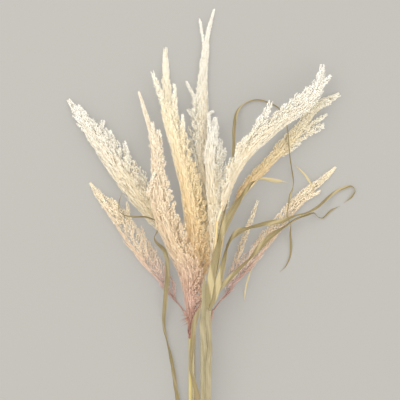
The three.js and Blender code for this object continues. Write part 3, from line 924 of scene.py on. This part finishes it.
def blade(node, seed, fresh, dry, back):
    """A thin leaf on the CAD leaf's line: folded along its rib, wavy at its rims, pointed at its tip, and
    narrowed at its base to the culm that it grew on."""
    rng = np.random.default_rng(seed)
    middles, across, widths = blade_frames(node)
    line = fine_line(middles, BLADE_STEP)
    old = lengths_along(middles)
    here = lengths_along(line)
    here = here * old[-1] / here[-1]
    total = here[-1]
    side = unit(np.stack([np.interp(here, old, column) for column in across.T], 1))
    heading = unit(np.gradient(line, axis=0))
    side = unit(side - heading * (side * heading).sum(1, keepdims=True))
    normal = np.cross(side, heading)[:, None]

    to_tip = smoothstep((total - here) / TIP_LENGTH)
    from_base = smoothstep(here / BASE_LENGTH)
    half = np.interp(here, old, widths) / 2 * (0.15 + 0.85 * to_tip) * (0.3 + 0.7 * from_base)
    fold = blade_heights(rng, here, half)
    thick = BLADE_THICKNESS / 2 * MM * (1.0 - 0.7 * ACROSS**2 + 0.35 * np.exp(-((ACROSS / 0.12) ** 2)))
    flat = line[:, None] + side[:, None] * (half[:, None] * ACROSS)[..., None]
    top = flat + normal * (fold + thick)[..., None]
    low = flat + normal * (fold - thick)[..., None]
    section = np.concatenate([top, low[:, ::-1]], 1)
    rings, size = section.shape[:2]

    around = np.concatenate([(ACROSS + 1) / 4, 0.5 + (ACROSS + 1) / 4, [1.0]])
    faces, places = wall(rings, size, here / total, around, order=[0, 1, 2, 3])
    end_faces, end_places = blade_ends(rings, size, around)
    faces = np.concatenate(faces + end_faces)
    places = np.concatenate(places + end_places).reshape(-1, 2)
    material = blade_material(f"dry leaf {node}", total, fresh, dry, back)
    piece = add_mesh(f"{node}_blade", section.reshape(-1, 3), faces, places, material, smooth=True)
    finish_piece(piece, node)


OLIVE = colour(112, 100, 68)
OLIVE_LIGHT = colour(132, 120, 86)
STRAW = colour(158, 143, 104)
PALE_STRAW = colour(218, 201, 156)
GREY_STRAW = colour(178, 168, 136)
BROWN = colour(116, 100, 70)

LEAVES = [
    ("leaf_left_hanging", OLIVE, STRAW, GREY_STRAW),
    ("leaf_arch", OLIVE, STRAW, PALE_STRAW),
    ("leaf_low_right", OLIVE, STRAW, PALE_STRAW),
    ("leaf_long_right", OLIVE, STRAW, PALE_STRAW),
    ("leaf_wide_bent", OLIVE, STRAW, PALE_STRAW),
    ("sheath_right", OLIVE_LIGHT, GREY_STRAW, GREY_STRAW),
    ("sheath_right_side", BROWN, GREY_STRAW, GREY_STRAW),
    ("sheath_left", BROWN, STRAW, GREY_STRAW),
]
for index, (node, fresh, dry, back) in enumerate(LEAVES):
    blade(node, 40 + index, fresh, dry, back)
for index, node in enumerate(("leaf_tip_high", "leaf_tip_low")):
    blade(node, 60 + index, STRAW, PALE_STRAW, PALE_STRAW)

# ---- Culms ----

CULM_STEP = 4 * MM
CULM_CORNERS = 20
JOINT_SWELL = 0.16  # how much thicker a joint is
JOINT_LENGTH = 2.2 * MM
CULM_TAPER = 0.12  # how much thinner a culm is by the plume
PITH_DEPTH = 0.5 * MM


def culm_material(name, length, base, dry, high):
    """A ribbed straw: fine fibres along it, dry blotches, and high is its colour by the plume."""
    shader = Shader(name, roughness=0.5, specular=0.4)
    along, around = shader.map_axes()
    run = shader.times(along, length / MAP_UNIT)
    fibres = shader.noise(shader.times(run, 0.05), shader.times(around, 40.0), detail=3.0)
    blotches = shader.noise(shader.times(run, 0.25), shader.times(around, 2.0), detail=2.0)
    tint = shader.mix(shader.span(fibres, 0.35, 0.7), base, dry)
    tint = shader.mix(shader.times(shader.span(blotches, 0.55, 0.75), 0.5), tint, dry)
    shader.paint(shader.mix(shader.span(along, 0.8, 1.0), tint, high))
    shader.bump(fibres, strength=0.4, distance=0.25 * MM)
    return shader.material


def culm_radii(radius, here, joints):
    """The radius at each step, swollen at the joints, which are in mm from the cut end."""
    size = np.full(len(here), radius * 0.97)
    for joint in joints:
        size *= 1 + JOINT_SWELL * np.exp(-(((here - joint * MM) / JOINT_LENGTH) ** 2))
    return size * (1 - CULM_TAPER * smoothstep(here / here[-1]))


def culm(name, seed, base, dry, high, joints):
    """A round culm with swollen joints, and a cut end whose pith is a little sunk."""
    node = f"culm_{name}"
    rng = np.random.default_rng(seed)
    rings = rings_of(node, CULM_SIDES)
    middles = np.array([ring.mean(0) for ring in rings])
    radius = np.linalg.norm(rings[0] - middles[0], axis=1).mean()
    line = fine_line(middles, CULM_STEP)
    here = lengths_along(line)
    total = here[-1]
    heading = unit(np.gradient(line, axis=0))
    side = level_side(heading)
    up = np.cross(side, heading)
    size = culm_radii(radius, here, joints)
    turns = np.linspace(0, 2 * np.pi, CULM_CORNERS, endpoint=False)
    flute = 1 + 0.02 * np.sin(5 * turns + rng.uniform(0, 6))
    tilt = rng.uniform(-0.3, 0.3)
    slant = np.exp(-here / (3 * MM))[:, None] * tilt * size[:, None] * np.cos(turns)
    outward = side[:, None] * np.cos(turns)[:, None] + up[:, None] * np.sin(turns)[:, None]
    corners = line[:, None] + outward * (size[:, None] * flute)[..., None]
    corners = corners + heading[:, None] * slant[..., None]

    inset = corners[0] * 0.8 + line[0] * 0.2
    sunk = inset + heading[0] * PITH_DEPTH
    core = (corners[0] * 0.4 + line[0] * 0.6) + heading[0] * PITH_DEPTH
    end = corners[-1] * 0.3 + line[-1] * 0.7
    stack = np.concatenate([core[None], sunk[None], inset[None], corners, end[None]])
    share = np.concatenate([[0.0, 0.003, 0.006], 0.01 + 0.98 * here / total, [1.0]])
    layers = len(stack)
    points = np.vstack([stack.reshape(-1, 3), core.mean(0), end.mean(0)])
    around = np.arange(CULM_CORNERS + 1) / CULM_CORNERS
    faces, places = wall(layers, CULM_CORNERS, share, around, order=[0, 3, 2, 1])
    faces, places = np.concatenate(faces), np.concatenate(places).reshape(-1, 2)
    material = culm_material(f"straw {node}", total, base, dry, high)
    piece = add_mesh(f"{node}_stem", points, faces, places, material, smooth=True)
    close_ends(piece, layers)
    finish_piece(piece, node)


def close_ends(piece, layers):
    """Fans the first and last rings to their middles, which are the last two corners."""
    mesh = bmesh.new()
    mesh.from_mesh(piece.data)
    mesh.verts.ensure_lookup_table()
    layer = mesh.loops.layers.uv[MAP]
    last = (layers - 1) * CULM_CORNERS
    for k in range(CULM_CORNERS):
        after = (k + 1) % CULM_CORNERS
        for trio, at in (
            ((layers * CULM_CORNERS, after, k), 0.001),
            ((layers * CULM_CORNERS + 1, last + k, last + after), 0.999),
        ):
            face = mesh.faces.new([mesh.verts[i] for i in trio])
            face.smooth = True
            for loop, shift in zip(face.loops, (0, 1, 2)):
                loop[layer].uv = (abs(at - 0.001 * (shift > 0)), (k + 0.5 * shift) / CULM_CORNERS)
    mesh.to_mesh(piece.data)
    mesh.free()


YELLOW = colour(188, 170, 98)
YELLOW_DRY = colour(204, 190, 138)
KHAKI = colour(176, 164, 130)
KHAKI_DRY = colour(208, 198, 166)
GOLDEN = colour(222, 192, 132)
MAUVE = colour(178, 140, 130)

culm("centre_left", 80, YELLOW, YELLOW_DRY, YELLOW, joints=(96, 248))
CULMS = [
    ("left_low", MAUVE, (120, 262)),
    ("left", GOLDEN, (88, 236)),
    ("tall", GOLDEN, (104, 270)),
    ("right_mid", GOLDEN, (132, 284)),
    ("right_low", MAUVE, (76, 224)),
    ("centre", GOLDEN, (112, 250)),
    ("centre_right", GOLDEN, (92, 242)),
    ("right_high", GOLDEN, (124, 276)),
]
for index, (name, high, joints) in enumerate(CULMS):
    culm(name, 81 + index, KHAKI, KHAKI_DRY, high, joints)

# ---- Stage, camera and lights ----

VIEW_MIDDLE = (9, 243)  # what the camera looks at, in mm from the neck
VIEW_WIDTH = 0.72
VIEW_HEIGHT = 0.04  # the level, about halfway up the bundle, where it is that wide


def add_floor():
    bpy.ops.mesh.primitive_plane_add(size=16, location=(0, 0, 0))
    floor = bpy.context.object
    floor.name = "floor"
    shader = Shader("plain pale floor", roughness=0.9, specular=0.1)
    shader.set("Base Color", (0.215, 0.21, 0.196, 1))
    shader.set("Emission Color", (0.225, 0.218, 0.204, 1))
    shader.set("Emission Strength", 1.0)
    floor.data.materials.append(shader.material)


def add_camera():
    """Straight down on the plumes and the upper culms; the lower culms run out of the frame."""
    lens, sensor = 240, 36
    data = bpy.data.cameras.new("camera")
    data.lens = lens
    data.sensor_width = sensor
    camera = add_object("camera", data)
    x, y = to_row(VIEW_MIDDLE)
    camera.location = (x, y, VIEW_HEIGHT + VIEW_WIDTH * lens / sensor)
    bpy.context.scene.camera = camera


def add_light(name, location, size, power, tint):
    """A round soft light that looks at the plumes."""
    data = bpy.data.lights.new(name, "AREA")
    data.shape = "DISK"
    data.size = size
    data.energy = power
    data.color = tint
    light = add_object(name, data)
    light.location = location
    aim = Vector((0, 0.08, 0)) - Vector(location)
    light.rotation_euler = aim.to_track_quat("-Z", "Y").to_euler()


def add_lights():
    add_light("key", (-1.0, 1.1, 2.6), 2.4, 42, (1.0, 0.98, 0.955))
    add_light("fill", (1.5, -0.7, 2.4), 2.6, 20, (0.97, 0.98, 1.0))
    world = bpy.data.worlds.new("soft studio")
    world.use_nodes = True
    background = world.node_tree.nodes["Background"]
    background.inputs["Color"].default_value = (1.0, 0.985, 0.96, 1)
    background.inputs["Strength"].default_value = 1.1
    bpy.context.scene.world = world


add_floor()
add_camera()
add_lights()
bpy.context.scene.view_settings.view_transform = "Standard"
